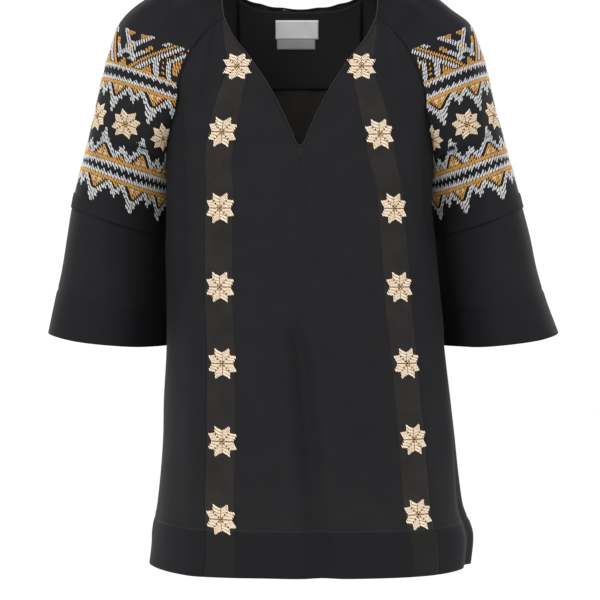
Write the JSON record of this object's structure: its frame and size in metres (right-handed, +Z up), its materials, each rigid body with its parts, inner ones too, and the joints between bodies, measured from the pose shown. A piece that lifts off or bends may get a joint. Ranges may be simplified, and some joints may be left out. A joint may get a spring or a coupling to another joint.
{
  "type": "romanian ie blouse",
  "caption": "Loose black folk blouse with a slit V neck, raglan sleeves, flared cuffs and woven bands down the front, filled out as worn.",
  "frame": {"origin": "midway between the shoulders, where the neckline crosses them and the wearer holds the blouse up", "axes": "+Z up the body, +X to the right as seen from the front, -Y the way the front faces"},
  "size_m": [0.5716, 0.2569, 0.6689],
  "materials": {
    "black_cloth": "matt plain weave",
    "band_weave": "matt even weave",
    "sleeve_cloth": "matt, embroidered",
    "label_white": "satin tape",
    "label_grey": "satin tape"
  },
  "bodies": {
    "root": {"front_centre": "black_cloth", "band_left": "band_weave", "band_right": "band_weave", "front_side_left": "black_cloth", "front_side_right": "black_cloth", "back": "black_cloth", "sleeve_left": "sleeve_cloth", "sleeve_right": "sleeve_cloth", "cuff_left": "black_cloth", "cuff_right": "black_cloth", "neck_binding": "black_cloth", "back_facing": "black_cloth", "label": "label_white", "size_tab": "label_grey"}
  },
  "joints": []
}
